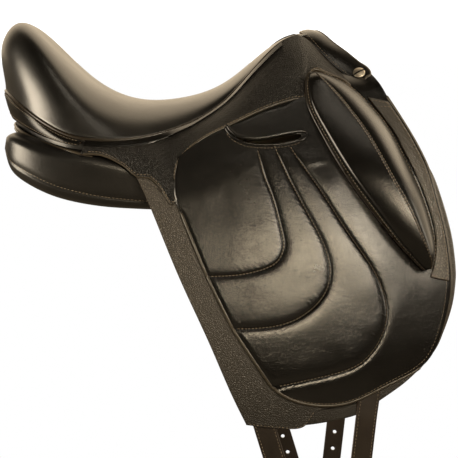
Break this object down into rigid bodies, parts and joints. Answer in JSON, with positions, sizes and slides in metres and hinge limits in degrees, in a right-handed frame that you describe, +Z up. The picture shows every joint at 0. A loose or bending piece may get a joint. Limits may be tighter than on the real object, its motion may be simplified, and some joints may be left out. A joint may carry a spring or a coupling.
{
  "type": "dressage saddle",
  "caption": "Black leather dressage saddle with a deep seat, quilted straight-cut flaps, outside thigh blocks, stirrup bars behind flap slots and long girth straps.",
  "frame": {"origin": "on the centre line, at the panels' bearing level under the waist of the seat", "axes": "+X to the pommel, +Y to the horse's left, +Z up"},
  "size_m": [0.5765, 0.44, 0.713],
  "materials": {
    "calf_leather": "smooth, waxed, semi-gloss",
    "panel_leather": "smooth, soft, semi-gloss",
    "grain_leather": "pebble grained, satin",
    "strap_leather": "plain bridle leather, satin",
    "piping": "thin leather over cord",
    "foam": null,
    "webbing": "woven jute",
    "tree_wood": "laminated beech",
    "tree_steel": "spring steel",
    "bar_steel": "forged, polished",
    "screw_steel": "nickel plated"
  },
  "bodies": {
    "saddle": {"seat_cover": "calf_leather", "pommel_band": "calf_leather", "cantle_band": "calf_leather", "cover_upper_left": "calf_leather", "cover_upper_right": "calf_leather", "thigh_block_left": "calf_leather", "thigh_block_right": "calf_leather", "panel_left": "panel_leather", "panel_right": "panel_leather", "rear_facing": "panel_leather", "gullet_lining": "panel_leather", "skirt_left": "grain_leather", "skirt_right": "grain_leather", "flap_upper_left": "grain_leather", "flap_upper_right": "grain_leather", "front_strip_left": "grain_leather", "front_strip_right": "grain_leather", "sweat_flap_left": "grain_leather", "sweat_flap_right": "grain_leather", "strap_top_front_left": "strap_leather", "strap_top_front_right": "strap_leather", "strap_top_rear_left": "strap_leather", "strap_top_rear_right": "strap_leather", "seat_welt": "piping", "seat_foam": "foam", "seat_webs": "webbing", "tree_head": "tree_wood", "tree_cantle": "tree_wood", "tree_rail_left": "tree_wood", "tree_rail_right": "tree_wood", "head_plate": "tree_steel", "gullet_plate": "tree_steel", "spring_strip_left": "tree_steel", "spring_strip_right": "tree_steel", "stirrup_bar_left": "bar_steel", "stirrup_bar_right": "bar_steel", "bar_pin_left": "bar_steel", "bar_pin_right": "bar_steel", "bar_rivets": "bar_steel", "pommel_screws": "screw_steel"},
    "flap_tail_left": {"flap_lower_left": "grain_leather", "cover_lower_left": "calf_leather"},
    "catch_left": {"bar_catch_left": "bar_steel"},
    "strap_front_left": {"girth_strap_front_left": "strap_leather"},
    "strap_rear_left": {"girth_strap_rear_left": "strap_leather"},
    "flap_tail_right": {"flap_lower_right": "grain_leather", "cover_lower_right": "calf_leather"},
    "catch_right": {"bar_catch_right": "bar_steel"},
    "strap_front_right": {"girth_strap_front_right": "strap_leather"},
    "strap_rear_right": {"girth_strap_rear_right": "strap_leather"}
  },
  "joints": [
    {"name": "flap_lift_left", "type": "hinge", "parent": "saddle", "child": "flap_tail_left", "pos_m": [0.1, 0.20461, -0.118], "axis": [0.9955, -0.0943, 0], "range_deg": [0, 40], "stiffness_Nm_per_rad": 2, "springref_deg": -5.73},
    {"name": "catch_turn_left", "type": "hinge", "parent": "saddle", "child": "catch_left", "pos_m": [0.03651, 0.10819, 0.08655], "axis": [-0.1184, 0.8429, 0.5248], "range_deg": [0, 90]},
    {"name": "strap_swing_front_left", "type": "hinge", "parent": "saddle", "child": "strap_front_left", "pos_m": [0.167, 0.20106, -0.277], "axis": [0.9825, -0.1544, -0.104], "range_deg": [-30, 70]},
    {"name": "strap_swing_rear_left", "type": "hinge", "parent": "saddle", "child": "strap_rear_left", "pos_m": [0.045, 0.21355, -0.291], "axis": [0.9554, -0.0405, 0.2926], "range_deg": [-30, 70]},
    {"name": "flap_lift_right", "type": "hinge", "parent": "saddle", "child": "flap_tail_right", "pos_m": [0.1, -0.20461, -0.118], "axis": [-0.9955, -0.0943, 0], "range_deg": [0, 40], "stiffness_Nm_per_rad": 2, "springref_deg": -5.73},
    {"name": "catch_turn_right", "type": "hinge", "parent": "saddle", "child": "catch_right", "pos_m": [0.03651, -0.10819, 0.08655], "axis": [0.1184, 0.8429, -0.5248], "range_deg": [0, 90]},
    {"name": "strap_swing_front_right", "type": "hinge", "parent": "saddle", "child": "strap_front_right", "pos_m": [0.167, -0.20106, -0.277], "axis": [-0.9825, -0.1544, 0.104], "range_deg": [-30, 70]},
    {"name": "strap_swing_rear_right", "type": "hinge", "parent": "saddle", "child": "strap_rear_right", "pos_m": [0.045, -0.21355, -0.291], "axis": [-0.9554, -0.0405, -0.2926], "range_deg": [-30, 70]}
  ]
}
